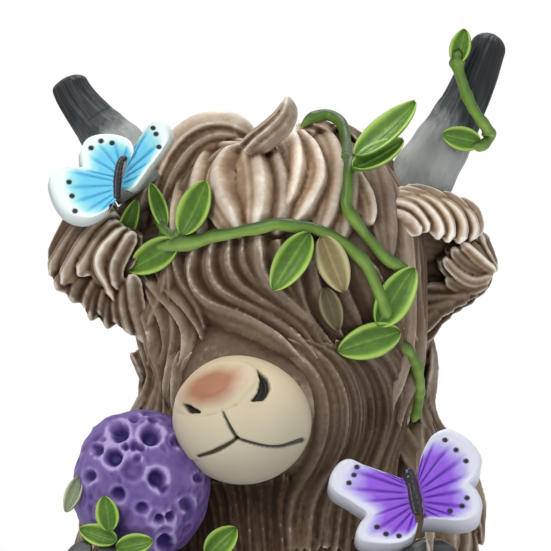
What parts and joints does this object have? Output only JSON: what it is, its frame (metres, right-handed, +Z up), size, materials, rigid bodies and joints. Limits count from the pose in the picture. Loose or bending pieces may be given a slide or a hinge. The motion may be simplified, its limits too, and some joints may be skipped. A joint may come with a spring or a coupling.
{
  "type": "cow figurine",
  "caption": "Seated long-haired cow figurine holding a bunch of blossom, with a butterfly on its other hoof, leafy vines over its brow and a butterfly at one horn.",
  "frame": {"origin": "centre of the felt sheet's underside, on the surface that the figurine stands on", "axes": "+Z up, -Y out of the cow's face, +X to the cow's left"},
  "size_m": [0.0955, 0.1023, 0.1674],
  "materials": {
    "coat_paint": "dry-brushed matt paint on cast resin",
    "horn_paint": "matt dark grey paint, lighter near the root",
    "muzzle_paint": "matt cream paint",
    "nose_paint": "matt pink-brown paint",
    "hoof_paint": "matt near-black paint",
    "blossom_paint": "matt violet paint with darker pits",
    "vine_paint": "satin green paint",
    "leaf_paint": "satin light green paint",
    "blue_wing_paint": "satin blue paint with white rims",
    "purple_wing_paint": "satin violet paint with white rims",
    "butterfly_body_paint": "satin dark violet paint",
    "plug_rubber": "plain off-white stopper",
    "felt": "black felt",
    "steel_pins": "plain steel wire"
  },
  "bodies": {
    "root": {"bloom_lower": "blossom_paint", "bloom_upper": "blossom_paint", "bouquet_stem": "vine_paint", "butterfly_blue_body": "butterfly_body_paint", "butterfly_blue_wing_left": "blue_wing_paint", "butterfly_blue_wing_right": "blue_wing_paint", "butterfly_purple_body": "butterfly_body_paint", "butterfly_purple_wing_left": "purple_wing_paint", "butterfly_purple_wing_right": "purple_wing_paint", "crown_tuft": "coat_paint", "ear_left": "coat_paint", "ear_right": "coat_paint", "felt_base": "felt", "fore_hoof_left": "hoof_paint", "fore_hoof_right": "hoof_paint", "foreleg_left": "coat_paint", "foreleg_right": "coat_paint", "forelock": "coat_paint", "head": "coat_paint", "hind_hoof_left": "hoof_paint", "hind_hoof_right": "hoof_paint", "hind_leg_left": "coat_paint", "hind_leg_right": "coat_paint", "horn_left": "horn_paint", "horn_pin_left": "steel_pins", "horn_pin_right": "steel_pins", "horn_right": "horn_paint", "leaf_brow_brown": "leaf_paint", "leaf_brow_bud": "leaf_paint", "leaf_brow_end": "leaf_paint", "leaf_brow_hanging": "leaf_paint", "leaf_brow_long": "leaf_paint", "leaf_brow_small": "leaf_paint", "leaf_brow_upright": "leaf_paint", "leaf_bunch_inner": "leaf_paint", "leaf_bunch_low": "leaf_paint", "leaf_bunch_low_outer": "leaf_paint", "leaf_bunch_outer": "leaf_paint", "leaf_cheek_lower": "leaf_paint", "leaf_cheek_upper": "leaf_paint", "leaf_crown_large": "leaf_paint", "leaf_crown_small": "leaf_paint", "leaf_horn": "leaf_paint", "leaf_horn_bud": "leaf_paint", "muzzle": "muzzle_paint", "neck_dowel": "steel_pins", "nose_pad": "nose_paint", "pour_plug": "plug_rubber", "tail": "coat_paint", "tail_tuft": "coat_paint", "torso": "coat_paint", "vine_brow": "vine_paint", "vine_crown": "vine_paint", "vine_horn": "vine_paint", "vine_neck": "vine_paint"}
  },
  "joints": []
}
